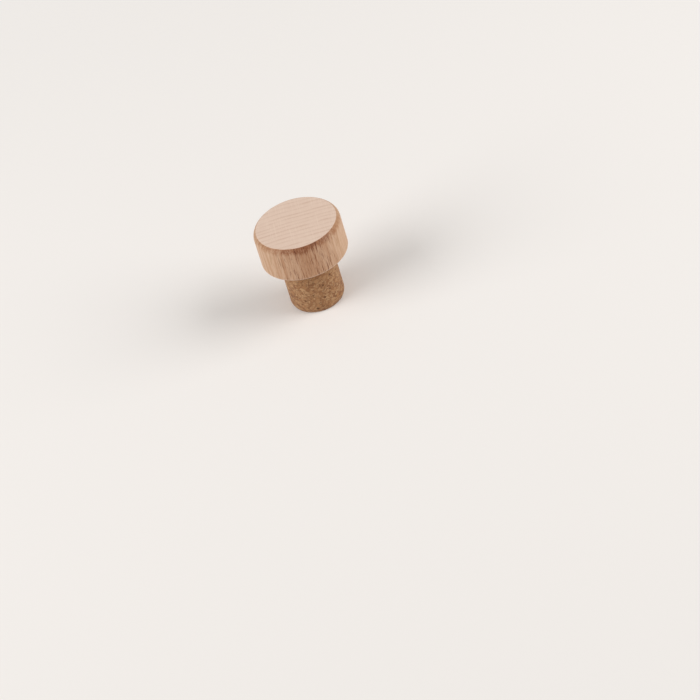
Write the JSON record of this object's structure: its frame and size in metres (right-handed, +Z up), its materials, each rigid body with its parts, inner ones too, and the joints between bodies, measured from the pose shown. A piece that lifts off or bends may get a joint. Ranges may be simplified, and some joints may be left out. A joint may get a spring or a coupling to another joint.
{
  "type": "bottle stopper",
  "caption": "Wooden bottle stopper: a flat turned disc head with a rounded upper rim, glued onto a straight cork shank that plugs a bottle's bore.",
  "frame": {"origin": "centre of the cork's lower end, on which the stopper stands", "axes": "+Z up the axis of turning, from the cork's lower end to the flat top of the head; +X and +Y are any two directions across it, and the head's growth rings run nearly along X"},
  "size_m": [0.031, 0.031, 0.033],
  "materials": {
    "beech": "turned and fine-sanded beech, bare, end grain on top, rim burnished brown",
    "cork": "fine agglomerated cork, matt, cut and sanded"
  },
  "bodies": {
    "root": {"wooden_head": "beech", "cork_shank": "cork"}
  },
  "joints": []
}
